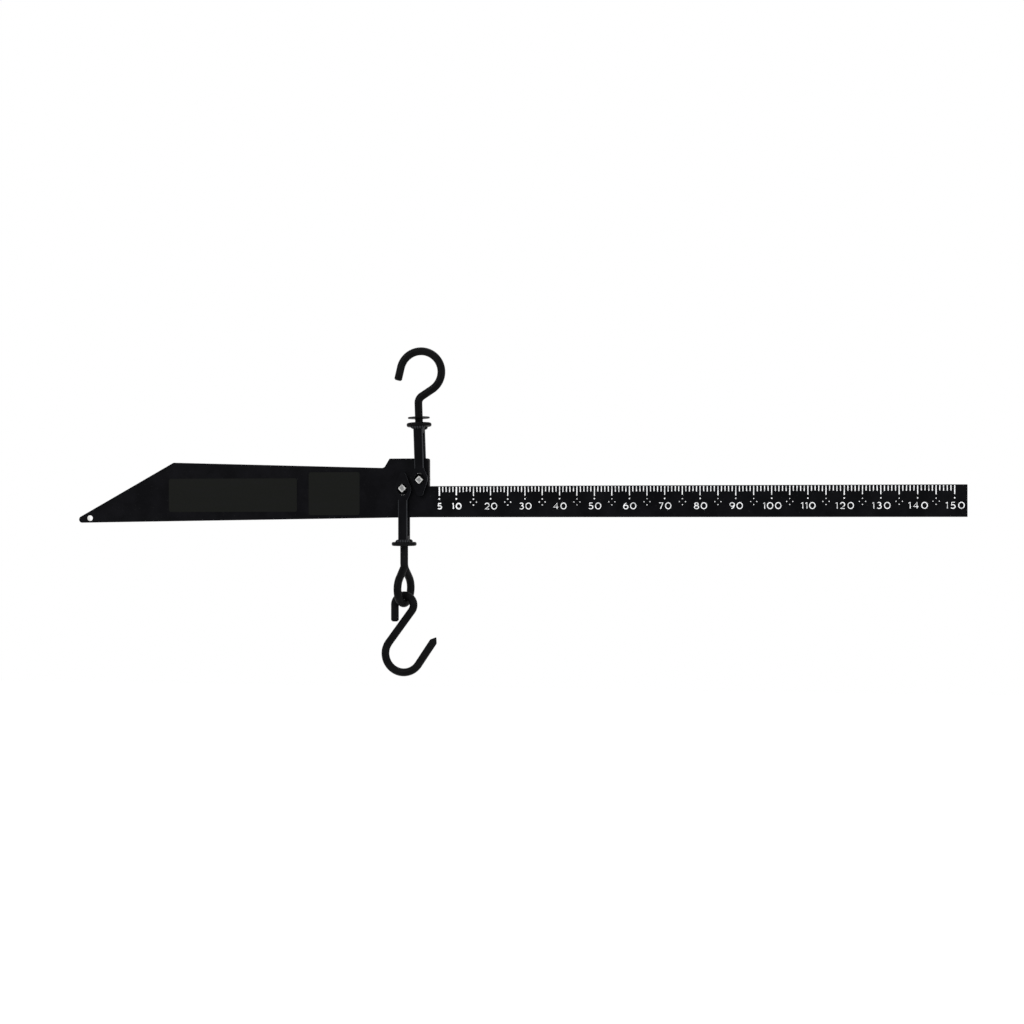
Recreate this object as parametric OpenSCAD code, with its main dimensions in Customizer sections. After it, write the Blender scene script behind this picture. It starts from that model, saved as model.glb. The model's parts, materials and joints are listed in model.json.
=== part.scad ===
// Hanging beam scale (steelyard) with a swivelling top hook, a graduated beam on two knife edges
// and a load stirrup with a swivel eye and an S hook. Millimetres, +Z up, +X towards the long arm.
// The origin is the crown of the top hook, where the scale hangs.

/* [Graduation] */
// Distance along the beam for one kilogram of load
kg_pitch = 3.5; // [3.4:0.05:4]
// Mass of the sliding weight that the graduation is cut for
poise_kg = 5; // [5:0.5:6]
// Last graduation on the beam
last_kg = 150; // [60:5:160]
// Fulcrum edge to the zero of the graduation
zero_at = 2.2; // [0:0.1:4]
// Plain stretch of bar past the last graduation
bar_past = 12.1; // [8:0.1:30]

/* [Beam] */
// Height of the graduated bar
bar_h = 31.75; // [26:0.25:33]
// Thickness of the plate that the bar, head and counterweight are cut from
beam_t = 4.7625; // [4:0.25:8]
// Height of both bearing edges above the bar's lower edge
edge_h = 33.7; // [31:0.1:38]
// Fulcrum edge to the head's right side
head_right = 8.94; // [8.5:0.1:14]
// Fulcrum edge to the left end of the head's top
head_left = 31.8; // [29:0.1:45]
// Height of the head above the bar's lower edge
head_h = 60.1; // [56:0.5:70]
// Corner radius on the head's top
head_corner_r = 1.5; // [0.5:0.1:4]
// Corner radius at the bar's end
bar_corner_r = 0.6; // [0.3:0.1:3]

/* [Counterweight] */
// Length of the sloped shoulder left of the head
shoulder_run = 5.7; // [4:0.1:12]
// Height of the counterweight at the foot of the shoulder
shoulder_h = 50.5; // [46:0.1:54]
// Radius of the hollow at the foot of the shoulder
shoulder_r = 4; // [1:0.5:6]
// Fulcrum edge to the counterweight's upper corner
counter_reach = 260.8; // [255:0.1:290]
// Height of the upper corner
counter_h = 57.1; // [54:0.1:64]
// Radius of the upper corner
counter_r = 3; // [1:0.5:10]
// Fulcrum edge to the point where the slope meets the lower edge
tip_reach = 374.06; // [360:0.1:400]
// How far the lower edge falls by that point
tip_drop = 5.72; // [2:0.1:10]
// Radius of the rounded tip
tip_r = 3.45; // [2:0.05:4]
// Point of the tip to the hole's centre
tip_hole_in = 22.4; // [22:0.1:30]
// Height of the hole's centre above the lower edge
tip_hole_up = 4.66; // [4.6:0.1:5.5]
// Diameter of the hole in the tip
tip_hole_d = 6; // [3:0.1:7]

/* [Backing plate] */
// Thickness of the backing plate
backing_t = 3.175; // [3:0.25:8]
// Point of the tip to the backing plate's cut end, which is set so that the beam hangs level
backing_in = 85.8; // [30:0.1:110]
// Diameter of the plug welds that hold it
plug_d = 14; // [8:0.5:18]
// Number of plug welds
plug_count = 6; // [3:1:8]
// Margin from the plug welds to the plate's ends
plug_margin = 28; // [20:1:50]
// Height of the plug welds above the bar's lower edge
plug_h = 18; // [12:0.5:28]

/* [Knives] */
// Side of the square bar that each knife is made from
knife_side = 6; // [5:0.1:6.2]
// How far each knife stands out of the cheeks
knife_proud = 2.76; // [1:0.1:5]
// Chamfer round the knives' ends
knife_chamfer = 0.6; // [0.2:0.1:1]

/* [Stirrups] */
// Width of the flat bar of the cheeks
strap_w = 9.525; // [8:0.25:11]
// Thickness of the flat bar of the cheeks
strap_t = 3.175; // [3:0.1:4]
// Radius of the rounded edges of the flat bar
strap_edge_r = 1.4; // [0.4:0.1:1.4]
// Gap between a cheek and the beam's side
cheek_gap = 1.6; // [1.5:0.1:2.5]
// Bearing edge to the disc
stirrup_leg = 59; // [56:0.5:62]
// Diameter of the eye that hangs on the knife
eye_d = 11; // [10.6:0.1:11.4]
// Radius of the boss round the eye
boss_r = 8.4; // [8:0.1:9.2]
// Bearing edge to the place where the boss has narrowed to the flat bar
boss_neck = 16; // [15:0.5:24]
// Bearing edge to the rounded end of the cheek
cheek_tip = 12.2; // [9:0.1:12.4]
// Radius of the rounded end of the cheek
cheek_tip_r = 3.3; // [3:0.1:5]
// Diameter of the disc that joins the two cheeks
disc_d = 25.4; // [24:0.2:32]
// Thickness of that disc
disc_t = 4; // [3.8:0.1:6]
// Rounding of the disc's rim
disc_edge_r = 1.6; // [0.3:0.1:1.8]
// Size of the weld bead between cheek and disc
weld_r = 2.6; // [1.5:0.1:3]

/* [Swivels] */
// Diameter of the round bar of both hooks and the swivel eye
rod_d = 8; // [7:0.1:8.6]
// Radial running clearance of a shank in its disc
swivel_clear = 0.08; // [0.02:0.01:0.1]
// Gap between the head of a shank and each cheek
head_clear = 0.36; // [0.3:0.02:0.8]
// Height of the head of a shank
head_t = 5; // [3:0.5:8]
// Thickness of the thrust washer between head and disc
thrust_t = 1; // [0.6:0.1:1.6]
// Diameter of the stop washer on the top hook's shank
stop_d = 22.2; // [18:0.2:30]
// Thickness of the stop washer
stop_t = 1.2; // [0.8:0.1:2.5]
// Gap between disc and stop washer, which is the shank's end play
stop_gap = 4.6; // [3.6:0.1:6]

/* [Top hook] */
// Fulcrum edge to the centre of the hook's bowl
bowl_rise = 115; // [112:0.5:140]
// How far the bowl's centre lies off the shank's axis
bowl_set = 3.5; // [0:0.1:6]
// Radius of the bowl, to the bar's centreline
bowl_r = 21.3; // [20:0.1:26]
// Radius of the bend between shank and bowl
bowl_neck_r = 8.3; // [7:0.1:9]
// Fulcrum edge to the start of that bend
bowl_neck_rise = 83.2; // [76:0.1:84]
// Angle by which the hook's free end flares out
flare_deg = 15; // [5:1:25]
// Length of the straight free end
flare_len = 13.5; // [6:0.2:24]
// Chamfer on the free ends of the hooks
end_chamfer = 1.3; // [0.5:0.1:2]

/* [Swivel eye] */
// Bearing edge of the load knife to the lowest point of the eye
loop_drop = 126; // [120:0.1:150]
// Radius of the eye, to the bar's centreline
loop_r = 15.4; // [15:0.1:18]
// Lean of the two sides that run up from the eye to the shank
loop_side_deg = 45; // [40:1:50]
// Radius of the bend between the shank and the eye
loop_neck_r = 10; // [6:0.5:12]
// Turn of the eye about the vertical, from the beam's plane
loop_turn = 75; // [60:1:90]

/* [S hook] */
// Radius of the S hook's upper bend, to the bar's centreline
s_top_r = 9.9; // [9.7:0.1:11]
// Gap between the S hook and the eye that it hangs in
s_gap = 0.3; // [0.1:0.05:0.5]
// Length of the straight short arm
s_short = 17; // [10:0.5:24]
// Radius of the lower bend, to the bar's centreline
s_low_r = 19.1; // [16:0.1:22]
// Height from the lower bend's centre to the upper bend's centre
s_rise = 50.1; // [46:0.1:65]
// How far the lower bend's centre lies left of the upper bend's centre
s_set = 1; // [0:0.1:4]
// Lean of the long arm from the vertical
s_arm_deg = 33.9; // [25:0.1:45]
// Length of the long arm with its point
s_arm = 33.6; // [24:0.2:46]
// Length of the blunt point
s_point = 5; // [3:0.1:7]
// Radius of the blunt point's end
s_point_r = 0.5; // [0.3:0.1:2]
// Turn of the S hook about the vertical, from the beam's plane
s_turn = -5; // [-20:1:-4]

/* [Labels] */
// Thickness of the label foils
label_t = 0.25; // [0.15:0.05:0.4]
// Width of the capacity label
capacity_w = 53.5; // [40:0.5:58]
// Height of the capacity label
capacity_h = 44.2; // [30:0.2:45]
// Height of the capacity label's lower side above the bar's lower edge
capacity_low = 2.2; // [1:0.1:4]
// Foot of the shoulder to the capacity label
capacity_in = 25.5; // [15:0.5:30]
// Width of the name label
name_w = 136.9; // [90:0.5:140]
// Height of the name label
name_h = 34.6; // [25:0.2:38]
// Height of the name label's lower side above the bar's lower edge
name_low = 5.7; // [3:0.1:9]
// Gap between the two labels
label_gap = 12.4; // [6:0.1:15]
// Corner radius of both labels
label_corner_r = 2.4; // [0.5:0.1:4]

/* [Hidden] */
$fn = 64;

enamel = "#16171a";
foil = "#1d1e21";
steel = "#c9c9c6";
zinc = "#8f8f8c";
blackened = "#2b2b2d";

// Largest turn between two points of a rounded corner.
step_deg = 9;
// A hollow bears on a knife's edge with this gap, so that the two don't cut into each other.
seat_gap = 0.05;
// Rings that are fixed on a shank, and plugs in their holes, have this radial gap.
fixed_gap = 0.01;
// Gap above and below a thrust washer.
float_gap = 0.1;
// Cutting shapes reach past a face by this much.
over = 1;
// Straight bar reaches into the bends by this much, and bending swells the bar's radius a little.
rod_lap = 0.05;
bend_swell = 0.02;

// A weight of poise_kg out on the bar balances one of load_kg at the load knife when
// poise_kg * distance = load_kg * knife_gap, so one kilogram of load is knife_gap / poise_kg.
knife_gap = kg_pitch * poise_kg;
bar_reach = zero_at + kg_pitch * last_kg + bar_past;
rod_r = rod_d / 2;

// Depths through the beam, from its front face to the cheek behind it.
beam_front = -(beam_t + backing_t) / 2;
beam_joint = beam_front + beam_t;
beam_back = beam_joint + backing_t;
cheek_in = beam_back + cheek_gap;
cheek_out = cheek_in + strap_t;

// The hook's crown is right over the fulcrum, so its shank leans.
lean = asin(bowl_set / bowl_rise);
pivot_z = -(bowl_rise + bowl_r - rod_r);

// Directions in the XZ plane, by their lean from +Z towards +X.
function along(deg) = [sin(deg), cos(deg)];
function unit(v) = v / norm(v);
function bearing(v) = atan2(v.y, v.x);
function half_turn(d) = d > 180 ? d - 360 : d < -180 ? d + 360 : d;

// Points of an arc, with its ends.
function arc(c, r, from, sweep) = let (n = max(1, ceil(abs(sweep) / step_deg)))
    [for (i = [0:n]) c + r * [cos(from + sweep * i / n), sin(from + sweep * i / n)]];

// The arc that rounds the corner p between the points a and b.
function corner(a, p, b, r) = r == 0 ? [p] :
    let (
        u = unit(a - p),
        v = unit(b - p),
        half = acos(u * v) / 2,
        c = p + unit(u + v) * r / sin(half),
        from = bearing(p + u * r / tan(half) - c)
    )
    arc(c, r, from, half_turn(bearing(p + v * r / tan(half) - c) - from));

// An outline from corners that are given as [x, z, radius].
function point(q) = [q[0], q[1]];
function rounded(corners) = let (n = len(corners))
    [for (i = [0:n - 1])
        let (before = point(corners[(i + n - 1) % n]), after = point(corners[(i + 1) % n]))
        each corner(before, point(corners[i]), after, corners[i][2])];

// A length of round bar in the XZ plane from p to q.
module rod_run(p, q) {
    aimed(p, q) translate([0, 0, -rod_lap]) cylinder(h = norm(q - p) + 2 * rod_lap, r = rod_r);
}

// The same with its free end at q, tapered to end_r over the given length.
module rod_end(p, q, taper, end_r) {
    len = norm(q - p);
    aimed(p, q) rotate_extrude()
        polygon([[0, -rod_lap], [rod_r, -rod_lap], [rod_r, len - taper], [end_r, len], [0, len]]);
}

module aimed(p, q) {
    translate([p.x, 0, p.y]) rotate([0, atan2(q.x - p.x, q.y - p.y), 0]) children();
}

// The same bent round the centre c, between two angles from +X towards +Z.
module rod_bend(c, r, from, to) {
    translate([c.x, 0, c.y])
        rotate([90, 0, 0]) rotate([0, 0, from])
            rotate_extrude(angle = to - from) translate([r, 0]) circle(r = rod_r + bend_swell);
}

// The upper stirrup and the hook lean about the fulcrum's edge.
module upper_frame() {
    translate([0, 0, pivot_z]) rotate([0, -lean, 0]) children();
}

// The beam's heights are taken from the bar's lower edge.
module beam_frame() {
    translate([0, 0, pivot_z - edge_h]) children();
}

// The load side hangs from the load knife's edge.
module load_frame() {
    translate([-knife_gap, 0, pivot_z]) children();
}

// The lower stirrup is the upper one turned over.
module lower_frame() {
    load_frame() rotate([0, 180, 0]) children();
}

// Stirrup pieces, with the bearing edge at the origin and the disc above.
module yoke_disc() {
    bore = rod_r + swivel_clear;
    rim = disc_d / 2;
    edge = disc_edge_r;
    section = [[bore, 0, 0], [rim, 0, edge], [rim, disc_t, edge], [bore, disc_t, 0]];
    translate([0, 0, stirrup_leg]) rotate_extrude() polygon(rounded(section));
}

// A cheek is a boss that tapers to a rounded tip below and to the flat bar above.
boss_z = eye_d / 2 - seat_gap;
tip_z = cheek_tip_r - cheek_tip;
tip_taper = asin((boss_r - cheek_tip_r) / (boss_z - tip_z));
neck_corner = [strap_w / 2, boss_neck - boss_z];
neck_deg = bearing(neck_corner) - acos(boss_r / norm(neck_corner));
boss_outline = concat(
    [[strap_w / 2, boss_neck], [-strap_w / 2, boss_neck]],
    arc([0, boss_z], boss_r, 180 - neck_deg, neck_deg + tip_taper),
    arc([0, tip_z], cheek_tip_r, 180 + tip_taper, 180 - 2 * tip_taper),
    arc([0, boss_z], boss_r, -tip_taper, tip_taper + neck_deg)
);
strap_section = rounded([
    [-strap_w / 2, cheek_in, strap_edge_r], [strap_w / 2, cheek_in, strap_edge_r],
    [strap_w / 2, cheek_out, strap_edge_r], [-strap_w / 2, cheek_out, strap_edge_r]
]);

module cheek() {
    leg_from = boss_neck - strap_edge_r;
    difference() {
        union() {
            translate([0, cheek_out, 0]) rotate([90, 0, 0]) linear_extrude(strap_t) polygon(boss_outline);
            translate([0, 0, leg_from]) linear_extrude(stirrup_leg - leg_from) polygon(strap_section);
        }
        translate([0, cheek_in - over, boss_z])
            rotate([-90, 0, 0]) cylinder(h = strap_t + 2 * over, d = eye_d);
    }
}

// The bead runs across the outer face of a cheek and round both its edges, under the disc.
module weld_bead() {
    half = strap_w / 2;
    low = stirrup_leg - weld_r - over;
    difference() {
        translate([0, 0, stirrup_leg]) {
            translate([-half, cheek_out, 0]) rotate([0, 90, 0]) cylinder(h = strap_w, r = weld_r);
            for (x = [-half, half]) {
                translate([x, cheek_in, 0]) rotate([-90, 0, 0]) cylinder(h = strap_t, r = weld_r);
                translate([x, cheek_out, 0]) sphere(r = weld_r);
            }
        }
        translate([-disc_d / 2, 0, stirrup_leg]) cube([disc_d, disc_d, weld_r + over]);
        translate([0, 0, low]) linear_extrude(weld_r + 2 * over) polygon(strap_section);
    }
}

module yoke_welds() {
    weld_bead();
    mirror([0, 1, 0]) weld_bead();
}

// Rings on a shank: the head inside the stirrup and the washer that it turns on.
module ring(z, h, d, gap) {
    translate([0, 0, z]) difference() {
        cylinder(h = h, d = d);
        translate([0, 0, -over]) cylinder(h = h + 2 * over, r = rod_r + gap);
    }
}

head_d = 2 * (cheek_in - head_clear);
thrust_z = stirrup_leg - float_gap - thrust_t;
head_z = thrust_z - float_gap - head_t;
stop_z = stirrup_leg + disc_t + stop_gap;

module thrust_washer() {
    ring(thrust_z, thrust_t, head_d, swivel_clear);
}

module swivel_head() {
    ring(head_z, head_t, head_d, fixed_gap);
}

// The top hook's shank runs up from its head, bends out and then rounds the bowl to the free end.
bowl = [bowl_set, sqrt(bowl_rise ^ 2 - bowl_set ^ 2)];
bowl_neck = [bowl_neck_r, bowl_neck_rise];
bowl_deg = atan2((bowl - bowl_neck).x, (bowl - bowl_neck).y)
    + asin((bowl_r + bowl_neck_r) / norm(bowl - bowl_neck));

module upper_hook() {
    side = [cos(bowl_deg), -sin(bowl_deg)];
    flare = along(180 + flare_deg);
    free_from = bowl + bowl_r * [-cos(flare_deg), sin(flare_deg)];
    color(enamel) upper_frame() {
        rod_run([0, head_z], [0, bowl_neck_rise]);
        rod_bend(bowl_neck, bowl_neck_r, 180 - bowl_deg, 180);
        rod_run(bowl_neck - bowl_neck_r * side, bowl + bowl_r * side);
        rod_bend(bowl, bowl_r, -bowl_deg, 180 - flare_deg);
        rod_end(free_from, free_from + flare_len * flare, end_chamfer, rod_r - end_chamfer);
    }
}

module upper_stop_washer() {
    color(enamel) upper_frame() ring(stop_z, stop_t, stop_d, fixed_gap);
}

module upper_swivel_head() {
    color(blackened) upper_frame() swivel_head();
}

module upper_thrust_washer() {
    color(zinc) upper_frame() thrust_washer();
}

module upper_yoke_disc() {
    color(enamel) upper_frame() yoke_disc();
}

module upper_front_cheek() {
    color(enamel) upper_frame() mirror([0, 1, 0]) cheek();
}

module upper_rear_cheek() {
    color(enamel) upper_frame() cheek();
}

module upper_yoke_welds() {
    color(enamel) upper_frame() yoke_welds();
}

// A knife is a square bar on edge. The fulcrum knife bears on its lower edge and the load knife on
// its upper edge, and both edges lie at the same height.
knife_half = knife_side / sqrt(2);
knife_len = 2 * (cheek_out + knife_proud);
fulcrum_at = [0, edge_h + knife_half];
load_at = [-knife_gap, edge_h - knife_half];

module knife_bar(at) {
    translate([at.x, 0, at.y]) rotate([0, 45, 0]) cube([knife_side, knife_len, knife_side], center = true);
}

// Each end is turned to a cone that takes off the corners.
module knife(at) {
    end_r = knife_half - knife_chamfer;
    intersection() {
        knife_bar(at);
        translate([at.x, 0, at.y]) rotate([90, 0, 0])
            for (side = [0, 1])
                mirror([0, 0, side]) cylinder(h = knife_len / 2, r1 = end_r + knife_len / 2, r2 = end_r);
    }
}

module knife_holes() {
    knife_bar(fulcrum_at);
    knife_bar(load_at);
}

// The lower edge falls to the left of the fulcrum, and the hole in the tip follows it.
tip_hole_x = tip_hole_in - tip_reach;
tip_hole_z = tip_drop * tip_hole_x / tip_reach + tip_hole_up;

module tip_hole() {
    translate([tip_hole_x, beam_front - over, tip_hole_z])
        rotate([-90, 0, 0]) cylinder(h = beam_t + 2 * over, d = tip_hole_d);
}

// The corners that the beam and its backing share, from the head round to the fulcrum's foot.
left_corners = [
    [head_right, head_h, head_corner_r],
    [-head_left, head_h, head_corner_r],
    [-head_left - shoulder_run, shoulder_h, shoulder_r],
    [-counter_reach, counter_h, counter_r],
    [-tip_reach, -tip_drop, tip_r],
    [0, 0, 0]
];
bar_corners = [
    [bar_reach, 0, bar_corner_r],
    [bar_reach, bar_h, bar_corner_r],
    [head_right, bar_h, 0]
];

module beam_plate() {
    color(enamel) beam_frame() difference() {
        translate([0, beam_joint, 0])
            rotate([90, 0, 0]) linear_extrude(beam_t) polygon(rounded(concat(left_corners, bar_corners)));
        knife_holes();
        tip_hole();
    }
}

backing_reach = tip_reach - backing_in;
plug_first = head_left + shoulder_run + plug_margin;
plug_pitch = (backing_reach - 2 * plug_margin - plug_first) / (plug_count - 1);

// Plugs through the backing plate, with the given radial growth.
module plugs(grow) {
    for (i = [0:plug_count - 1])
        translate([-plug_first - i * plug_pitch, beam_joint, plug_h])
            rotate([-90, 0, 0]) cylinder(h = backing_t, r = plug_d / 2 + grow);
}

module backing_plate() {
    color(enamel) beam_frame() difference() {
        translate([0, beam_back, 0]) rotate([90, 0, 0]) linear_extrude(backing_t) intersection() {
            polygon(rounded(concat(left_corners, [[head_right, 0, 0]])));
            translate([-backing_reach, -tip_drop]) square([backing_reach + head_right, head_h + tip_drop]);
        }
        knife_holes();
        plugs(fixed_gap);
    }
}

module backing_plug_welds() {
    color(enamel) beam_frame() plugs(0);
}

module fulcrum_knife() {
    color(steel) beam_frame() knife(fulcrum_at);
}

module load_knife() {
    color(steel) beam_frame() knife(load_at);
}

// The labels follow each other along the counterweight, from the shoulder to the left.
capacity_x = -head_left - shoulder_run - capacity_in - capacity_w;
name_x = capacity_x - label_gap - name_w;

module label(x, z, w, h) {
    r = label_corner_r;
    corners = [[0, 0, r], [w, 0, r], [w, h, r], [0, h, r]];
    translate([x, beam_front, z]) rotate([90, 0, 0]) linear_extrude(label_t) polygon(rounded(corners));
}

module name_label() {
    color(foil) beam_frame() label(name_x, name_low, name_w, name_h);
}

module capacity_label() {
    color(foil) beam_frame() label(capacity_x, capacity_low, capacity_w, capacity_h);
}

module lower_yoke_disc() {
    color(enamel) lower_frame() yoke_disc();
}

module lower_front_cheek() {
    color(enamel) lower_frame() mirror([0, 1, 0]) cheek();
}

module lower_rear_cheek() {
    color(enamel) lower_frame() cheek();
}

module lower_yoke_welds() {
    color(enamel) lower_frame() yoke_welds();
}

module lower_thrust_washer() {
    color(zinc) lower_frame() thrust_washer();
}

module lower_swivel_head() {
    color(blackened) lower_frame() swivel_head();
}

// The swivel eye's shank bends out to one side, rounds the eye and comes back to the shank.
loop_z = rod_r + loop_r - loop_drop;
loop_meet = loop_z + loop_r / sin(loop_side_deg);
loop_neck_cut = loop_neck_r * tan(loop_side_deg / 2);

module swivel_eye() {
    meet = [0, loop_meet];
    right = along(180 - loop_side_deg);
    left = along(180 + loop_side_deg);
    side_len = loop_r / tan(loop_side_deg);
    color(enamel) load_frame() rotate([0, 0, loop_turn]) {
        rod_run([0, -head_z], [0, loop_meet + loop_neck_cut]);
        rod_bend([loop_neck_r, loop_meet + loop_neck_cut], loop_neck_r, 180, 180 + loop_side_deg);
        rod_run(meet + loop_neck_cut * right, meet + side_len * right);
        rod_bend([0, loop_z], loop_r, 180 - loop_side_deg, 360 + loop_side_deg);
        rod_run(meet + side_len * left, meet);
    }
}

// The S hook hangs in the eye, with its upper bend's centre at its own origin.
s_top_z = rod_d + rod_r + s_gap - s_top_r - loop_drop;
s_low = [-s_set, -s_rise];
s_deg = asin((s_top_r + s_low_r) / norm(s_low)) + atan2(s_set, s_rise);

module s_hook() {
    side = [cos(s_deg), -sin(s_deg)];
    arm = along(s_arm_deg);
    arm_from = s_low + s_low_r * [cos(s_arm_deg), -sin(s_arm_deg)];
    color(enamel) load_frame() translate([0, 0, s_top_z]) rotate([0, 0, s_turn]) {
        rod_end([-s_top_r, 0], [-s_top_r, -s_short], end_chamfer, rod_r - end_chamfer);
        rod_bend([0, 0], s_top_r, -s_deg, 180);
        rod_run(s_top_r * side, s_low - s_low_r * side);
        rod_bend(s_low, s_low_r, 180 - s_deg, 360 - s_arm_deg);
        rod_end(arm_from, arm_from + s_arm * arm, s_point, s_point_r);
    }
}

upper_hook();
upper_stop_washer();
upper_swivel_head();
upper_thrust_washer();
upper_yoke_disc();
upper_front_cheek();
upper_rear_cheek();
upper_yoke_welds();
beam_plate();
backing_plate();
backing_plug_welds();
fulcrum_knife();
load_knife();
name_label();
capacity_label();
lower_yoke_disc();
lower_front_cheek();
lower_rear_cheek();
lower_yoke_welds();
lower_thrust_washer();
lower_swivel_head();
swivel_eye();
s_hook();
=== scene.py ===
import json
import math
import random

import bmesh
import bpy
from bpy.props import FloatProperty, FloatVectorProperty, IntProperty, PointerProperty, StringProperty
from mathutils import Matrix, Vector


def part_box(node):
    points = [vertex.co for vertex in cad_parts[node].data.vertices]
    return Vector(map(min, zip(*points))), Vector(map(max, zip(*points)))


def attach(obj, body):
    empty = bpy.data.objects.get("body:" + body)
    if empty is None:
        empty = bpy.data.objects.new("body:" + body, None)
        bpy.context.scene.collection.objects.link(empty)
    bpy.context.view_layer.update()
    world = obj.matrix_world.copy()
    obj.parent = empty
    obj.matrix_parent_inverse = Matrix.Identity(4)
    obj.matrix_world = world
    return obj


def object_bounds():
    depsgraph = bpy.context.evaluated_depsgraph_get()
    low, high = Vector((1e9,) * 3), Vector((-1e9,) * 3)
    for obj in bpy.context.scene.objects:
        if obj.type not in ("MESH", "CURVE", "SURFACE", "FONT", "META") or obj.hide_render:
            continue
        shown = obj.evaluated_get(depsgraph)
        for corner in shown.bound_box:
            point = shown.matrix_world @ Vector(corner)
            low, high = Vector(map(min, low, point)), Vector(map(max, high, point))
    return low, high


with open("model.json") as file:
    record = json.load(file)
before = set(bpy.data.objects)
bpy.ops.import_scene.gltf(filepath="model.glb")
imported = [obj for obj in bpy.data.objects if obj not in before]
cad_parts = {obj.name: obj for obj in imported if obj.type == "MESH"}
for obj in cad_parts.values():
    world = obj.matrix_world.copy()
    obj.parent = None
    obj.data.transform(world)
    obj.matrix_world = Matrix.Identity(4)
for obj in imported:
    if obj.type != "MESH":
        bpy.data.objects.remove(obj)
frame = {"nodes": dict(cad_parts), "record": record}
cad_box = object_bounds()

bl_info = {
    "name": "Steelyard Finish",
    "version": (1, 0, 0),
    "blender": (4, 5, 0),
    "location": "View3D > Sidebar > Steelyard",
    "description": "Dresses a hanging steelyard with enamel, ground knives, graduation and studio",
    "category": "Object",
}

MM = 0.001

# Loads in kilograms from one long tick to the next, and from one number to the next
LONG_EVERY = 5
NUMBER_EVERY = 10

# Seed of the small unevenness with which the ticks were cut
CHISEL_SEED = 5

# Width of the camera's sensor
SENSOR_MM = 36

# A colour mix and its sockets, which go by number because their names repeat
COLOUR_MIX = {"data_type": "RGBA"}
MIX_SHARE = 0
MIX_FIRST = 6
MIX_SECOND = 7
MIX_RESULT = 2

# Each lamp's name, place in metres, side in metres and power in watts
LAMPS = (
    ("key", (-0.9, -1.5, 0.9), 1.1, 22),
    ("side", (1.7, -0.9, 0.1), 0.9, 12),
    ("top", (0.1, 0.5, 1.5), 1.2, 14),
)


# Places that are read from the frame

def middle(node):
    """The centre of a node's box."""
    low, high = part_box(node)
    return (low + high) / 2


def highest_beyond(node, x):
    """The highest vertex of a node past x, such as the bar's top edge at its free end."""
    return max(v.co.z for v in frame["nodes"][node].data.vertices if v.co.x > x)


fulcrum = middle("fulcrum_knife")
load_point = middle("load_knife")
bar_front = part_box("beam_plate")[0].y
bar_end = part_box("beam_plate")[1].x
bar_top = highest_beyond("beam_plate", bar_end / 2)
bearing_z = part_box("fulcrum_knife")[0].z
cheek_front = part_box("upper_front_cheek")[0].y
cheek_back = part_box("upper_rear_cheek")[1].y
tip_hole = next(mount for mount in frame["record"]["mounts"] if mount["name"] == "storage_hole")


# Sizes and colours that a user would change

def length_setting(name, description, mm):
    """A length for the panel, given in millimetres."""
    return FloatProperty(name=name, description=description, default=mm * MM, unit="LENGTH")


def angle_setting(name, description, degrees):
    """An angle for the panel, given in degrees."""
    return FloatProperty(name=name, description=description, default=math.radians(degrees), subtype="ANGLE")


def number_setting(name, description, default):
    """A share or a strength for the panel."""
    return FloatProperty(name=name, description=description, default=default)


def load_setting(name, description, default):
    """A mass in whole kilograms for the panel."""
    return IntProperty(name=name, description=description, default=default)


def colour_setting(name, description, default):
    """A colour for the panel, written as #rrggbb."""
    return StringProperty(name=name, description=description, default=default)


class GraduationSizes(bpy.types.PropertyGroup):
    """Sizes of the stamped and painted graduation."""
    poise_kg: load_setting("Sliding weight", "Mass of the sliding weight in kilograms", 5)
    zero_at: length_setting("Zero", "Fulcrum edge to the zero of the graduation", 2.2)
    first_kg: load_setting("First mark", "Load at the first mark in kilograms", 5)
    last_kg: load_setting("Last mark", "Load at the last mark in kilograms", 150)
    short_len: length_setting("Short tick", "Bar's top edge to the foot of a tick for one kilogram", 6.0)
    long_len: length_setting("Long tick", "Bar's top edge to the foot of a tick for five kilograms", 9.8)
    tick_in: length_setting("Tick's place", "Bar's top edge to the upper end of a tick", 0.7)
    tick_w: length_setting("Tick width", "Width of the chisel that cut the ticks", 1.0)
    bold_kg: load_setting("Bold marks end", "Marks up to this load are cut heavier", 10)
    bold_share: number_setting("Bold width", "Width of a heavy mark as a share of a plain one", 1.5)
    dot_d: length_setting("Dot", "Diameter of the dot over a number", 1.45)
    dot_drop: length_setting("Dot's place", "Bar's top edge to the dot over a number", 13.1)
    small_dot_d: length_setting("Small dot", "Diameter of a dot in a diamond of four", 1.35)
    diamond_drop: length_setting("Diamond's place", "Bar's top edge to the middle of a diamond", 16.4)
    diamond_r: length_setting("Diamond", "Middle of a diamond to each of its dots", 3.0)
    worn_kg: load_setting("Worn dots", "Load from which the diamonds' dots are worn small", 45)
    worn_share: number_setting("Worn dot", "Diameter of a worn dot as a share of a full one", 0.75)
    digit_h: length_setting("Digit height", "Height of the number punches", 6.9)
    digit_drop: length_setting("Digits' place", "Bar's top edge to the top of the digits", 17.0)
    digit_side: length_setting("Digits' shift", "How far a number's middle lies past its tick", 0.35)
    stroke_w: length_setting("Stroke", "Width of a digit's stroke", 0.92)
    digit_gap: length_setting("Digit gap", "Gap between the digits of a number", 1.65)
    far_gap: length_setting("Far digit gap", "Gap between the digits at the bar's outer end", 2.2)
    far_kg: load_setting("Far numbers", "Load from which the wider gap is used", 120)
    paint_rise: length_setting("Paint rise", "How far the paint swells out of a mark", 0.08)


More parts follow.
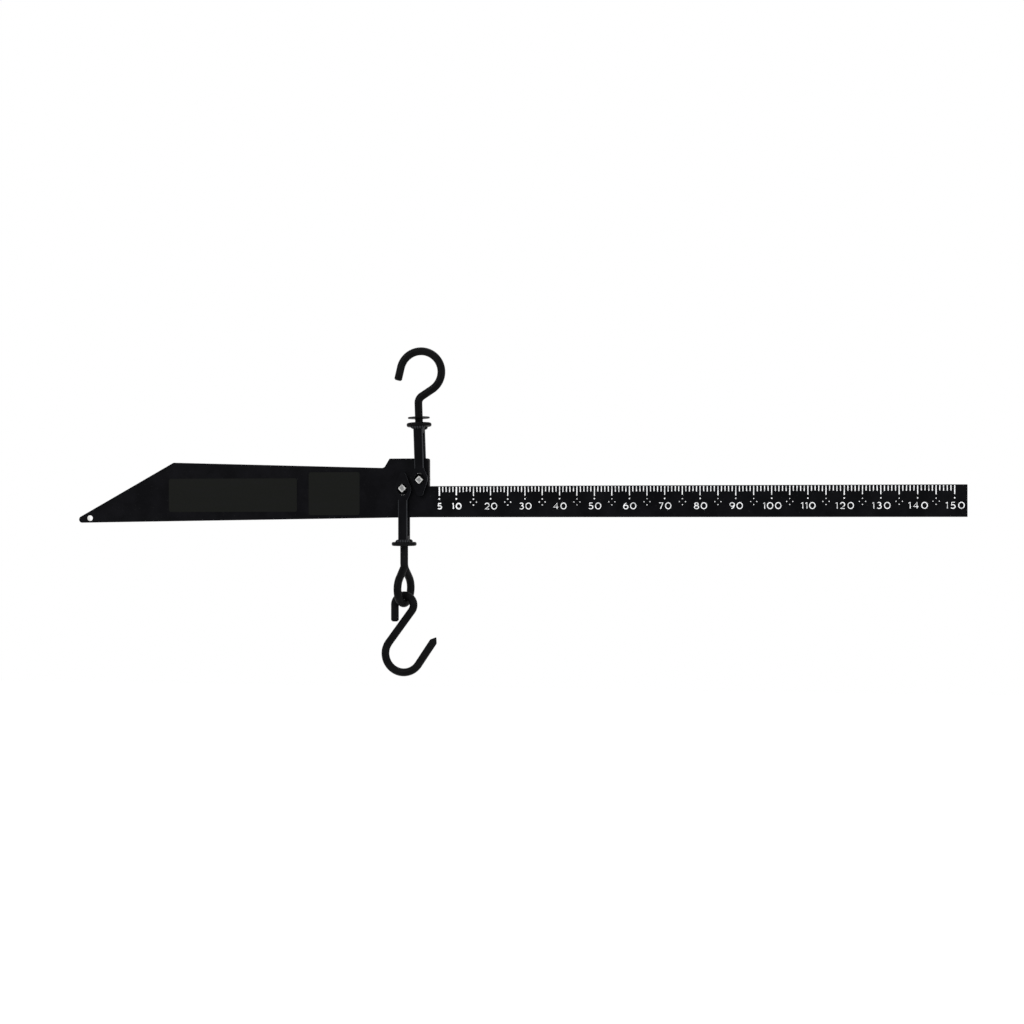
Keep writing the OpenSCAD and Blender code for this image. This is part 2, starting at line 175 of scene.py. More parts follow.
class FinishSizes(bpy.types.PropertyGroup):
    """Colours and sizes of the finishes."""
    enamel: colour_setting("Enamel", "Colour of the black enamel", "#080809")
    enamel_worn: colour_setting("Thin enamel", "Colour where the enamel lies thin", "#111112")
    plate: colour_setting("Plate enamel", "Colour of the plates' enamel", "#050507")
    plate_worn: colour_setting("Thin plate enamel", "Colour where the plates' enamel lies thin", "#0c0c0f")
    # A painted highlight: the lighter grey on the cheeks' rounded side edges, also laid on the weld crests.
    rubbed: colour_setting("Rubbed edge", "Colour of the rubbed enamel on edges and beads", "#313235")
    film: colour_setting("Label film", "Colour of the blank label films", "#10110f")
    paint: colour_setting("Filling paint", "Colour of the paint in the marks", "#eff0f1")
    paint_thin: colour_setting("Thin paint", "Colour where that paint has worn", "#8d8f91")
    ground: colour_setting("Ground steel", "Colour of the knives' ground sides", "#dcdcd8")
    # A painted highlight: the lighter grey towards the rims of the knives' sawn ends.
    sawn: colour_setting("Sawn steel", "Colour of the knives' sawn ends", "#747474")
    burnished: colour_setting("Burnished steel", "Colour towards the rims of the knives' ends", "#b1b1af")
    # A painted shade: the darker grey on the facets where the knives' corners are turned off.
    turned: colour_setting("Turned corners", "Colour where the knives' corners are turned off", "#6b6b6b")
    zinc: colour_setting("Zinc", "Colour of the plated thrust washers", "#8f908d")
    blackened: colour_setting("Blackened steel", "Colour of the blackened swivel heads", "#2b2b2d")
    edge_soft: length_setting("Edge softening", "Rounding that the enamel gives a sheared edge", 0.3)
    eye_d: length_setting("Knife eye", "Diameter of the eyes that hang on the knives", 11)
    eye_over: length_setting("Eye's place", "Bearing edge to the middle of an eye", 5.45)
    rim_w: length_setting("Worn rim", "Width of the line where an eye's rim has lost its enamel", 0.18)
    rim_arc: angle_setting("Worn arc", "Half of the arc over which the rim is worn", 22)
    bare_wall: length_setting("Bare wall", "Thickness of the bare steel in the hole in the tip", 0.12)


class StageSizes(bpy.types.PropertyGroup):
    """The camera, the floor and the lamps."""
    aim: FloatVectorProperty(
        name="Aim", description="Point that the camera looks at", default=(93.66 * MM, 0.0, -160.73 * MM),
        unit="LENGTH")
    distance: length_setting("Distance", "Camera to the point that it looks at", 1100)
    yaw: angle_setting("Yaw", "Turn of the view to the left", 5.4922)
    roll: angle_setting("Roll", "Roll of the view", -0.0645)
    lens: FloatProperty(
        name="Lens", description="Focal length", default=38.066, subtype="DISTANCE_CAMERA")
    floor_drop: length_setting("Floor", "Lowest point of the scale to the floor", 750)
    floor_side: length_setting("Floor size", "Side of the floor", 9000)
    fill: number_setting("Room light", "Strength of the even light of the room", 0.62)
    paper: colour_setting("Paper", "Colour of the backdrop paper", "#f4f4f4")
    paper_light: colour_setting("Light paper", "Colour of the paper's lighter fibres", "#fafafa")


# Finishes

def linear(colour):
    """A #rrggbb colour as the linear RGBA that a shader takes."""
    parts = [int(colour[i:i + 2], 16) / 255 for i in (1, 3, 5)]
    return [c / 12.92 if c <= 0.04045 else ((c + 0.055) / 1.055) ** 2.4 for c in parts] + [1.0]


def per_mm(size):
    """The scale of a texture in object coordinates whose features are this many millimetres wide."""
    return 1 / (size * MM)


def add(tree, kind, settings=None, links=None):
    """Adds a node, sets its settings, and fills its inputs with values or links them to sockets."""
    node = tree.nodes.new(kind)
    for key, value in (settings or {}).items():
        setattr(node, key, value)
    for key, value in (links or {}).items():
        if isinstance(value, bpy.types.NodeSocket):
            tree.links.new(value, node.inputs[key])
        else:
            node.inputs[key].default_value = value
    return node


def new_material(name):
    """An empty material, its node tree and the coordinates of the object's own frame."""
    material = bpy.data.materials.new(name)
    material.use_nodes = True
    tree = material.node_tree
    tree.nodes.clear()
    where = add(tree, "ShaderNodeTexCoord").outputs
    return material, tree, where


def plate_shades(sizes):
    """The deeper shades of enamel on the plates and cheeks: where it lies thick, and where thin."""
    return sizes.plate, sizes.plate_worn


# Stoved enamel on hot-rolled steel: near black with a satin sheen, the steel's faint swells under it,
# the fine orange peel of sprayed paint on top and a few specks of dust. Where it lies thin it goes a
# shade greyer. Rounded edges whose faces turn towards either end of the arm can be given a painted
# highlight, a lighter grey, and the crests of a weld's ripples go that grey, by the share that crest gives.
# Real specks are too fine to show, so they are drawn coarser.
def stoved_enamel(name, sizes, shades=None, ripple_mm=None, crest=0.9, rubbed=False):
    swell_mm = 22
    peel_mm = 1.4
    dust_mm = 0.9
    dust_share = 0.12
    trough = crest / 9
    material, tree, where = new_material(name)
    place = where["Object"]
    swell = add(tree, "ShaderNodeTexNoise", links={
        "Vector": place, "Scale": per_mm(swell_mm), "Detail": 4.0, "Roughness": 0.6}).outputs["Fac"]
    peel = add(tree, "ShaderNodeTexNoise", links={
        "Vector": place, "Scale": per_mm(peel_mm), "Detail": 2.0}).outputs["Fac"]
    dust = add(tree, "ShaderNodeTexNoise", links={
        "Vector": place, "Scale": per_mm(dust_mm), "Detail": 1.0}).outputs["Fac"]
    thin = add(tree, "ShaderNodeMapRange", links={
        "Value": swell, "From Min": 0.42, "From Max": 0.72}).outputs["Result"]
    deep, worn = shades or (sizes.enamel, sizes.enamel_worn)
    coat = add(tree, "ShaderNodeMix", COLOUR_MIX, {
        MIX_SHARE: thin, MIX_FIRST: linear(deep), MIX_SECOND: linear(worn)}).outputs[MIX_RESULT]
    specks = add(tree, "ShaderNodeMapRange", links={
        "Value": dust, "From Min": 0.74, "From Max": 0.84, "To Max": dust_share}).outputs["Result"]
    colour = add(tree, "ShaderNodeMix", COLOUR_MIX, {
        MIX_SHARE: specks, MIX_FIRST: coat, MIX_SECOND: linear(sizes.zinc)}).outputs[MIX_RESULT]
    # Painted highlight: faces that turn towards either end of the arm, the rounded side edges, go lighter
    # grey.
    if rubbed:
        aside = add(tree, "ShaderNodeSeparateXYZ", links={"Vector": where["Normal"]}).outputs["X"]
        aside = add(tree, "ShaderNodeMath", {"operation": "ABSOLUTE"}, {0: aside}).outputs[0]
        share = add(tree, "ShaderNodeMapRange", links={
            "Value": aside, "From Min": 0.25, "From Max": 0.6}).outputs["Result"]
        colour = add(tree, "ShaderNodeMix", COLOUR_MIX, {
            MIX_SHARE: share, MIX_FIRST: colour, MIX_SECOND: linear(sizes.rubbed)}).outputs[MIX_RESULT]
    relief = add(tree, "ShaderNodeBump", links={
        "Height": peel, "Strength": 0.35, "Distance": 0.03 * MM}).outputs["Normal"]
    relief = add(tree, "ShaderNodeBump", links={
        "Height": swell, "Strength": 0.5, "Distance": 0.25 * MM, "Normal": relief}).outputs["Normal"]
    if ripple_mm:
        ripple = add(tree, "ShaderNodeTexWave", {"bands_direction": "X"}, {
            "Vector": place, "Scale": per_mm(ripple_mm) / (2 * math.pi),
            "Distortion": 1.5, "Detail": 1.0}).outputs["Fac"]
        on_crest = add(tree, "ShaderNodeMapRange", links={
            "Value": ripple, "From Min": 0.2, "From Max": 0.8,
            "To Min": trough, "To Max": crest}).outputs["Result"]
        colour = add(tree, "ShaderNodeMix", COLOUR_MIX, {
            MIX_SHARE: on_crest, MIX_FIRST: colour, MIX_SECOND: linear(sizes.rubbed)}).outputs[MIX_RESULT]
        relief = add(tree, "ShaderNodeBump", links={
            "Height": ripple, "Strength": crest, "Distance": 0.35 * MM, "Normal": relief}).outputs["Normal"]
    roughness = add(tree, "ShaderNodeMapRange", links={
        "Value": swell, "From Min": 0.3, "From Max": 0.7, "To Min": 0.36, "To Max": 0.52}).outputs["Result"]
    shader = add(tree, "ShaderNodeBsdfPrincipled", links={
        "Base Color": colour, "Roughness": roughness, "Specular IOR Level": 0.03, "Normal": relief})
    add(tree, "ShaderNodeOutputMaterial", links={"Surface": shader.outputs["BSDF"]})
    return material


# Hardened tool steel: the sides are ground bright along the bar. The sawn ends are greyer, with a painted
# highlight towards their rims and a painted shade on the facets where the corners are turned off. The
# rims show only on a bar whose middle, end_at, and half diagonal, half, are given. Real scratches are
# too fine to show, so they are drawn coarser, and still show only from near.
def ground_steel(name, sizes, end_at=None, half=None):
    scratch_mm = 0.35
    stain_mm = 2.5
    kept_along = 0.08
    material, tree, where = new_material(name)
    facing = add(tree, "ShaderNodeSeparateXYZ", links={"Vector": where["Normal"]}).outputs["Y"]
    facing = add(tree, "ShaderNodeMath", {"operation": "ABSOLUTE"}, {0: facing}).outputs[0]
    on_end = add(tree, "ShaderNodeMapRange", links={
        "Value": facing, "From Min": 0.9, "From Max": 0.97}).outputs["Result"]
    stretched = add(tree, "ShaderNodeMapping", links={
        "Vector": where["Object"], "Scale": (1.0, kept_along, 1.0)}).outputs["Vector"]
    scratch = add(tree, "ShaderNodeTexNoise", links={
        "Vector": stretched, "Scale": per_mm(scratch_mm), "Detail": 2.0}).outputs["Fac"]
    stain = add(tree, "ShaderNodeTexNoise", links={
        "Vector": where["Object"], "Scale": per_mm(stain_mm), "Detail": 3.0}).outputs["Fac"]
    sawn = linear(sizes.sawn)
    if end_at is not None:
        out = add(tree, "ShaderNodeVectorMath", {"operation": "SUBTRACT"}, {0: where["Object"], 1: end_at})
        out = add(tree, "ShaderNodeVectorMath", {"operation": "ABSOLUTE"}, {0: out.outputs["Vector"]})
        out = add(tree, "ShaderNodeSeparateXYZ", links={"Vector": out.outputs["Vector"]}).outputs
        reach = add(tree, "ShaderNodeMath", {"operation": "ADD"}, {0: out["X"], 1: out["Z"]}).outputs[0]
        uneven = add(tree, "ShaderNodeMapRange", links={
            "Value": stain, "From Min": 0.35, "From Max": 0.65, "To Max": 0.45 * half}).outputs["Result"]
        reach = add(tree, "ShaderNodeMath", {"operation": "SUBTRACT"}, {0: reach, 1: uneven}).outputs[0]
        # Painted highlight towards the rims of the end.
        burnished = add(tree, "ShaderNodeMapRange", links={
            "Value": reach, "From Min": 0.35 * half, "From Max": 0.7 * half}).outputs["Result"]
        sawn = add(tree, "ShaderNodeMix", COLOUR_MIX, {
            MIX_SHARE: burnished, MIX_FIRST: sawn,
            MIX_SECOND: linear(sizes.burnished)}).outputs[MIX_RESULT]
    clean = add(tree, "ShaderNodeMix", COLOUR_MIX, {
        MIX_SHARE: on_end, MIX_FIRST: linear(sizes.ground), MIX_SECOND: sawn}).outputs[MIX_RESULT]
    # Painted shade on the facets where the corners are turned off.
    turned = add(tree, "ShaderNodeMapRange", links={
        "Value": facing, "From Min": 0.45, "From Max": 0.6}).outputs["Result"]
    turned = add(tree, "ShaderNodeMath", {"operation": "SUBTRACT"}, {0: turned, 1: on_end}).outputs[0]
    clean = add(tree, "ShaderNodeMix", COLOUR_MIX, {
        MIX_SHARE: turned, MIX_FIRST: clean, MIX_SECOND: linear(sizes.turned)}).outputs[MIX_RESULT]
    stained = add(tree, "ShaderNodeMapRange", links={
        "Value": stain, "From Min": 0.5, "From Max": 0.8, "To Max": 0.45}).outputs["Result"]
    colour = add(tree, "ShaderNodeMix", COLOUR_MIX, {
        MIX_SHARE: stained, MIX_FIRST: clean, MIX_SECOND: linear(sizes.zinc)}).outputs[MIX_RESULT]
    relief = add(tree, "ShaderNodeBump", links={
        "Height": scratch, "Strength": 0.4, "Distance": 0.02 * MM}).outputs["Normal"]
    roughness = add(tree, "ShaderNodeMapRange", links={
        "Value": on_end, "To Min": 0.26, "To Max": 0.48}).outputs["Result"]
    shader = add(tree, "ShaderNodeBsdfPrincipled", links={
        "Base Color": colour, "Metallic": 1.0, "Roughness": roughness, "Normal": relief})
    add(tree, "ShaderNodeOutputMaterial", links={"Surface": shader.outputs["BSDF"]})
    return material


# Blackened tool steel: a dark oxide skin, smoother than the enamel, with cloudy patches left by the oil.
def blackened_steel(name, sizes):
    cloud_mm = 3
    material, tree, where = new_material(name)
    cloud = add(tree, "ShaderNodeTexNoise", links={
        "Vector": where["Object"], "Scale": per_mm(cloud_mm), "Detail": 3.0}).outputs["Fac"]
    oily = add(tree, "ShaderNodeMapRange", links={
        "Value": cloud, "From Min": 0.4, "From Max": 0.7}).outputs["Result"]
    colour = add(tree, "ShaderNodeMix", COLOUR_MIX, {
        MIX_SHARE: oily, MIX_FIRST: linear(sizes.blackened),
        MIX_SECOND: linear(sizes.enamel_worn)}).outputs[MIX_RESULT]
    roughness = add(tree, "ShaderNodeMapRange", links={
        "Value": cloud, "From Min": 0.3, "From Max": 0.8, "To Min": 0.36, "To Max": 0.5}).outputs["Result"]
    shader = add(tree, "ShaderNodeBsdfPrincipled", links={
        "Base Color": colour, "Metallic": 1.0, "Roughness": roughness})
    add(tree, "ShaderNodeOutputMaterial", links={"Surface": shader.outputs["BSDF"]})
    return material


# Dull zinc plate: a grey metal whose crystals show as soft patches.
def zinc_plate(name, sizes):
    patch_mm = 1.8
    material, tree, where = new_material(name)
    patch = add(tree, "ShaderNodeTexVoronoi", links={
        "Vector": where["Object"], "Scale": per_mm(patch_mm)}).outputs["Distance"]
    dulled = add(tree, "ShaderNodeMapRange", links={
        "Value": patch, "From Min": 0.1, "From Max": 0.8}).outputs["Result"]
    colour = add(tree, "ShaderNodeMix", COLOUR_MIX, {
        MIX_SHARE: dulled, MIX_FIRST: linear(sizes.zinc),
        MIX_SECOND: linear(sizes.sawn)}).outputs[MIX_RESULT]
    roughness = add(tree, "ShaderNodeMapRange", links={
        "Value": patch, "From Max": 0.9, "To Min": 0.38, "To Max": 0.55}).outputs["Result"]
    shader = add(tree, "ShaderNodeBsdfPrincipled", links={
        "Base Color": colour, "Metallic": 1.0, "Roughness": roughness})
    add(tree, "ShaderNodeOutputMaterial", links={"Surface": shader.outputs["BSDF"]})
    return material


# Satin vinyl film: smoother and a shade lighter than the enamel, with faint rub marks along the arm.
def label_vinyl(name, sizes):
    rub_mm = 3
    kept_along = 0.12
    material, tree, where = new_material(name)
    stretched = add(tree, "ShaderNodeMapping", links={
        "Vector": where["Object"], "Scale": (kept_along, 1.0, 1.0)}).outputs["Vector"]
    rub = add(tree, "ShaderNodeTexNoise", links={
        "Vector": stretched, "Scale": per_mm(rub_mm), "Detail": 4.0}).outputs["Fac"]
    rubbed = add(tree, "ShaderNodeMapRange", links={
        "Value": rub, "From Min": 0.5, "From Max": 0.8, "To Max": 0.6}).outputs["Result"]
    colour = add(tree, "ShaderNodeMix", COLOUR_MIX, {
        MIX_SHARE: rubbed, MIX_FIRST: linear(sizes.film),
        MIX_SECOND: linear(sizes.enamel_worn)}).outputs[MIX_RESULT]
    relief = add(tree, "ShaderNodeBump", links={
        "Height": rub, "Strength": 0.2, "Distance": 0.02 * MM}).outputs["Normal"]
    roughness = add(tree, "ShaderNodeMapRange", links={
        "Value": rub, "From Min": 0.3, "From Max": 0.8, "To Min": 0.40, "To Max": 0.52}).outputs["Result"]
    shader = add(tree, "ShaderNodeBsdfPrincipled", links={
        "Base Color": colour, "Roughness": roughness, "Specular IOR Level": 0.045, "Normal": relief})
    add(tree, "ShaderNodeOutputMaterial", links={"Surface": shader.outputs["BSDF"]})
    return material


# Oil paint wiped into stamped marks: bright where it fills them, and grey and pitted where it has worn.
# Real pits are too fine to show, so they are drawn coarser.
def filling_paint(name, sizes):
    worn_mm = 4.5
    pit_mm = 0.55
    material, tree, where = new_material(name)
    worn = add(tree, "ShaderNodeTexNoise", links={
        "Vector": where["Object"], "Scale": per_mm(worn_mm), "Detail": 2.0}).outputs["Fac"]
    pit = add(tree, "ShaderNodeTexNoise", links={
        "Vector": where["Object"], "Scale": per_mm(pit_mm), "Detail": 2.0}).outputs["Fac"]
    thin = add(tree, "ShaderNodeMapRange", links={
        "Value": worn, "From Min": 0.48, "From Max": 0.72, "To Max": 0.8}).outputs["Result"]
    coat = add(tree, "ShaderNodeMix", COLOUR_MIX, {
        MIX_SHARE: thin, MIX_FIRST: linear(sizes.paint),
        MIX_SECOND: linear(sizes.paint_thin)}).outputs[MIX_RESULT]
    pitted = add(tree, "ShaderNodeMapRange", links={
        "Value": pit, "From Min": 0.66, "From Max": 0.78, "To Max": 0.9}).outputs["Result"]
    colour = add(tree, "ShaderNodeMix", COLOUR_MIX, {
        MIX_SHARE: pitted, MIX_FIRST: coat, MIX_SECOND: linear(sizes.enamel_worn)}).outputs[MIX_RESULT]
    relief = add(tree, "ShaderNodeBump", links={
        "Height": pit, "Strength": 0.4, "Distance": 0.05 * MM}).outputs["Normal"]
    shader = add(tree, "ShaderNodeBsdfPrincipled", links={
        "Base Color": colour, "Roughness": 0.6, "Specular IOR Level": 0.3, "Normal": relief})
    add(tree, "ShaderNodeOutputMaterial", links={"Surface": shader.outputs["BSDF"]})
    return material


def give_finish(material, nodes):
    """Puts one material on the frame's own nodes."""
    for name in nodes:
        mesh = frame["nodes"][name].data
        mesh.materials.clear()
        mesh.materials.append(material)


def soften_edges(nodes, width):
    """Rounds the sheared edges of the frame's own nodes a little, as their enamel does."""
    sheared_deg = 50
    hairline = 0.001 * MM
    for name in nodes:
        node = frame["nodes"][name]
        joined = node.modifiers.new("joined", "WELD")
        joined.merge_threshold = hairline
        soft = node.modifiers.new("soft", "BEVEL")
        soft.width = width
        soft.segments = 2
        soft.limit_method = "ANGLE"
        soft.angle_limit = math.radians(sheared_deg)
        soft.harden_normals = True


# Marks on the bar

def arc(centre, rx, rz, start, end, step_deg=12):
    """Points of an arc in the XZ plane, between two angles in degrees from +X towards +Z."""
    # Rounded first, so that a hair more than a whole number of steps adds no step
    steps = round(abs(end - start) / step_deg, 3)
    count = max(2, math.ceil(steps))
    turns = [math.radians(start + (end - start) * i / count) for i in range(count + 1)]
    return [(centre[0] + rx * math.cos(t), centre[1] + rz * math.sin(t)) for t in turns]


def digit_strokes(digit, s):
    """The width of a digit and its strokes' centre lines, for a height of 1 and a stroke of 2 s."""
    top = 1 - s
    if digit == "0":
        return 0.90, [arc((0.45, 0.5), 0.45 - s, 0.5 - s, 0, 360)]
    if digit == "1":
        return 0.34, [[(s, 0.80), (0.34 - s, top), (0.34 - s, s)]]
    if digit == "2":
        r = 0.36 - s
        return 0.72, [arc((0.36, top - r), r, r, 165, -35) + [(s, s), (0.72 - s, s)]]
    if digit == "3":
        upper = arc((0.33, 0.73), 0.31 - s, 0.27 - s, 140, -90)
        lower = arc((0.34, 0.31), 0.36 - s, 0.31 - s, 80, -145)
        return 0.70, [upper, lower]
    if digit == "4":
        return 0.82, [[(0.56, s), (0.56, top), (s, 0.33), (0.82 - s, 0.33)]]
    if digit == "5":
        bowl = arc((0.36, 0.33), 0.38 - s, 0.33 - s, 125, -145)
        return 0.76, [[(0.70 - s, top), (0.22, top), (0.17, 0.54)] + bowl]
    if digit == "6":
        bowl = arc((0.38, 0.33), 0.38 - s, 0.33 - s, 0, 360)
        stem = arc((0.62, 0.36), 0.62 - s, 0.64 - s, 180, 105)
        return 0.76, [bowl, stem]
    if digit == "7":
        return 0.68, [[(s, top), (0.68 - s, top), (0.26, s)]]
    if digit == "8":
        upper = arc((0.37, 0.74), 0.30 - s, 0.26 - s, 0, 360)
        lower = arc((0.37, 0.29), 0.37 - s, 0.29 - s, 0, 360)
        return 0.74, [upper, lower]
    # A 9 is a 6 turned upside down.
    width, strokes = digit_strokes("6", s)
    return width, [[(width - x, 1 - z) for x, z in stroke] for stroke in strokes]


def number_strokes(text, x, z, height, stroke_w, gap):
    """Strokes of a number that is centred on x, with its top at z."""
    s = stroke_w / height / 2
    digits = [digit_strokes(d, s) for d in text]
    total = sum(width for width, strokes in digits) * height + gap * (len(text) - 1)
    left = x - total / 2
    made = []
    for width, strokes in digits:
        made += [[(left + u * height, z - height + v * height) for u, v in line] for line in strokes]
        left += width * height + gap
    return made


def tick_x(kg, sizes):
    """Where a load is marked: the lever law gives the pitch from the gap between the two edges."""
    return fulcrum.x + sizes.zero_at + kg * (fulcrum.x - load_point.x) / sizes.poise_kg


def all_loads(sizes):
    """The loads that have a tick, in kilograms."""
    return range(sizes.first_kg, sizes.last_kg + 1)


def numbered(kg, sizes):
    """Whether a load has its number under its tick."""
    return kg == sizes.first_kg or kg % NUMBER_EVERY == 0


def tick_kind(kg, sizes):
    """The piece that a load's tick belongs to, by its length and weight."""
    if kg % LONG_EVERY != 0:
        return "short_ticks"
    return "bold_ticks" if kg <= sizes.bold_kg else "long_ticks"


def link(name, mesh, material):
    """A new object in the scene with that mesh and material."""
    piece = bpy.data.objects.new(name, mesh)
    mesh.materials.clear()
    mesh.materials.append(material)
    bpy.context.scene.collection.objects.link(piece)
    return piece


def strokes_mesh(name, strokes, width, depth, y):
    """Round strokes along lines in the XZ plane, flattened so that they stand out of y by a depth."""
    curve = bpy.data.curves.new(name, "CURVE")
    curve.dimensions = "3D"
    curve.bevel_depth = width / 2
    curve.bevel_resolution = 2
    curve.use_fill_caps = True
    near = width / 100
    for line in strokes:
        closed = math.dist(line[0], line[-1]) < near
        points = line[:-1] if closed else line
        spline = curve.splines.new("POLY")
        spline.points.add(len(points) - 1)
        spline.use_cyclic_u = closed
        for point, (x, z) in zip(spline.points, points):
            point.co = (x, 0, z, 1)
    tube = bpy.data.objects.new(name, curve)
    bpy.context.scene.collection.objects.link(tube)
    shown = tube.evaluated_get(bpy.context.evaluated_depsgraph_get())
    mesh = bpy.data.meshes.new_from_object(shown)
    bpy.data.objects.remove(tube)
    bpy.data.curves.remove(curve)
    mesh.name = name
    mesh.transform(Matrix.Translation((0, y, 0)) @ Matrix.Diagonal((1, 2 * depth / width, 1, 1)))
    return mesh


def put_in_order(parts, place):
    """Sorts vertices or faces by their place, because spheres give them in another order each run."""
    rank = {part: i for i, part in enumerate(sorted(parts, key=place))}
    parts.sort(key=lambda part: rank[part])
    parts.index_update()


def dots_mesh(name, dots, depth, y):
    """Low domes at (x, z, diameter) that stand out of y by a depth."""
    made = bmesh.new()
    for x, z, diameter in dots:
        flat = Matrix.Diagonal((diameter / 2, depth, diameter / 2, 1))
        place = Matrix.Translation((x, y, z)) @ flat @ Matrix.Rotation(math.pi / 2, 4, "X")
        bmesh.ops.create_uvsphere(made, u_segments=18, v_segments=10, radius=1, matrix=place)
    put_in_order(made.verts, lambda vert: tuple(vert.co))
    put_in_order(made.faces, lambda face: sorted(vert.index for vert in face.verts))
    for face in made.faces:
        face.smooth = True
    mesh = bpy.data.meshes.new(name)
    made.to_mesh(mesh)
    made.free()
    return mesh


def sleeve_mesh(name, x, z, outer, inner, front, back, sides=48):
    """A closed tube along Y, such as the wall of a drilled hole."""
    made = bmesh.new()
    turns = [2 * math.pi * i / sides for i in range(sides)]
    rings = []
    for radius, y in ((outer, front), (inner, front), (inner, back), (outer, back)):
        circle = [(x + radius * math.cos(t), y, z + radius * math.sin(t)) for t in turns]
        rings.append([made.verts.new(point) for point in circle])
    for ring, after in zip(rings, rings[1:] + rings[:1]):
        for i in range(sides):
            made.faces.new((ring[i - 1], ring[i], after[i], after[i - 1]))
    bmesh.ops.recalc_face_normals(made, faces=made.faces)
    mesh = bpy.data.meshes.new(name)
    made.to_mesh(mesh)
    made.free()
    return mesh


# Stage

def area_lamp(name, place, aim, side, watts):
    """A square soft lamp that points at a place."""
    lamp = bpy.data.lights.new(name, "AREA")
    lamp.size = side
    lamp.energy = watts
    holder = bpy.data.objects.new(name, lamp)
    holder.location = place
    holder.rotation_euler = (Vector(aim) - Vector(place)).to_track_quat("-Z", "Y").to_euler()
    bpy.context.scene.collection.objects.link(holder)


def seen_directly(tree):
    """1 for rays that see the background: those of the camera, of gloss and of glass."""
    path = add(tree, "ShaderNodeLightPath").outputs
    glossy = add(tree, "ShaderNodeMath", {"operation": "MAXIMUM"}, {
        0: path["Is Camera Ray"], 1: path["Is Glossy Ray"]}).outputs[0]
    return add(tree, "ShaderNodeMath", {"operation": "MAXIMUM"}, {
        0: glossy, 1: path["Is Transmission Ray"]}).outputs[0]


def light_room(strength):
    """A world that is white where it is seen and gives an even light elsewhere."""
    world = bpy.data.worlds.new("studio")
    world.use_nodes = True
    tree = world.node_tree
    tree.nodes.clear()
    share = add(tree, "ShaderNodeMapRange", links={
        "Value": seen_directly(tree), "To Min": strength}).outputs["Result"]
    light = add(tree, "ShaderNodeBackground", links={"Color": (1.0, 1.0, 1.0, 1.0), "Strength": share})
    add(tree, "ShaderNodeOutputWorld", links={"Surface": light.outputs["Background"]})
    bpy.context.scene.world = world


# Matt white backdrop paper: it glows a little where it is seen, so that it stays white, and keeps shadows.
def backdrop_paper(sizes):
    fibre_mm = 3
    own_glow = 0.55
    material, tree, where = new_material("backdrop_paper")
    fibre = add(tree, "ShaderNodeTexNoise", links={
        "Vector": where["Object"], "Scale": per_mm(fibre_mm), "Detail": 2.0}).outputs["Fac"]
    colour = add(tree, "ShaderNodeMix", COLOUR_MIX, {
        MIX_SHARE: fibre, MIX_FIRST: linear(sizes.paper),
        MIX_SECOND: linear(sizes.paper_light)}).outputs[MIX_RESULT]
    paper = add(tree, "ShaderNodeBsdfDiffuse", links={"Color": colour})
    glow = add(tree, "ShaderNodeMapRange", links={
        "Value": seen_directly(tree), "To Max": own_glow}).outputs["Result"]
    light = add(tree, "ShaderNodeEmission", links={"Strength": glow})
    both = add(tree, "ShaderNodeAddShader", links={0: paper.outputs[0], 1: light.outputs[0]})
    add(tree, "ShaderNodeOutputMaterial", links={"Surface": both.outputs[0]})
    return material


# Operators

ENAMELLED = [
    "upper_hook", "upper_stop_washer", "upper_yoke_disc", "lower_yoke_disc", "swivel_eye", "s_hook",
]
CHEEKS = ["upper_front_cheek", "upper_rear_cheek", "lower_front_cheek", "lower_rear_cheek"]
PLATES = ["beam_plate", "backing_plate"]
BEADS = ["upper_yoke_welds", "lower_yoke_welds"]
PLUGS = ["backing_plug_welds"]
KNIVES = ["fulcrum_knife", "load_knife"]
BLACKENED = ["upper_swivel_head", "lower_swivel_head"]
PLATED = ["upper_thrust_washer", "lower_thrust_washer"]
FILMS = ["name_label", "capacity_label"]


class STEELYARD_OT_stage(bpy.types.Operator):
    """Lay the floor, light the room and set the camera"""
    bl_idname = "steelyard.stage"
    bl_label = "Studio"

    def execute(self, context):
        sizes = context.scene.steelyard_stage
        aim = Vector(sizes.aim)
        ahead = Vector((-math.sin(sizes.yaw), math.cos(sizes.yaw), 0))
        camera = bpy.data.cameras.new("camera")
        camera.sensor_width = SENSOR_MM
        camera.sensor_fit = "HORIZONTAL"
        camera.lens = sizes.lens
        camera.clip_start = 0.05
        camera.clip_end = 50
        holder = bpy.data.objects.new("camera", camera)
        holder.location = aim - sizes.distance * ahead
        level = ahead.to_track_quat("-Z", "Y").to_matrix().to_4x4()
        holder.rotation_euler = (level @ Matrix.Rotation(sizes.roll, 4, "Z")).to_euler()
        context.scene.collection.objects.link(holder)
        context.scene.camera = holder

        half = sizes.floor_side / 2
        floor_z = cad_box[0].z - sizes.floor_drop
        mesh = bpy.data.meshes.new("floor")
        corners = ((-half, -half), (half, -half), (half, half), (-half, half))
        mesh.from_pydata([(x, y, floor_z) for x, y in corners], [], [(0, 1, 2, 3)])
        link("floor", mesh, backdrop_paper(sizes))

        light_room(sizes.fill)
        for name, place, side, watts in LAMPS:
            area_lamp(name, place, aim, side, watts)
        return {"FINISHED"}


class STEELYARD_OT_enamel(bpy.types.Operator):
    """Enamel the plates, stirrups, hooks and eye"""
    bl_idname = "steelyard.enamel"
    bl_label = "Enamelled pieces"

    def execute(self, context):
        sizes = context.scene.steelyard_finish
        give_finish(stoved_enamel("stoved_enamel", sizes), ENAMELLED)
        # The cheeks' rounded side edges get a painted highlight.
        give_finish(stoved_enamel("cheek_enamel", sizes, plate_shades(sizes), rubbed=True), CHEEKS)
        give_finish(stoved_enamel("plate_enamel", sizes, plate_shades(sizes)), PLATES)
        soften_edges(PLATES, sizes.edge_soft)
        return {"FINISHED"}


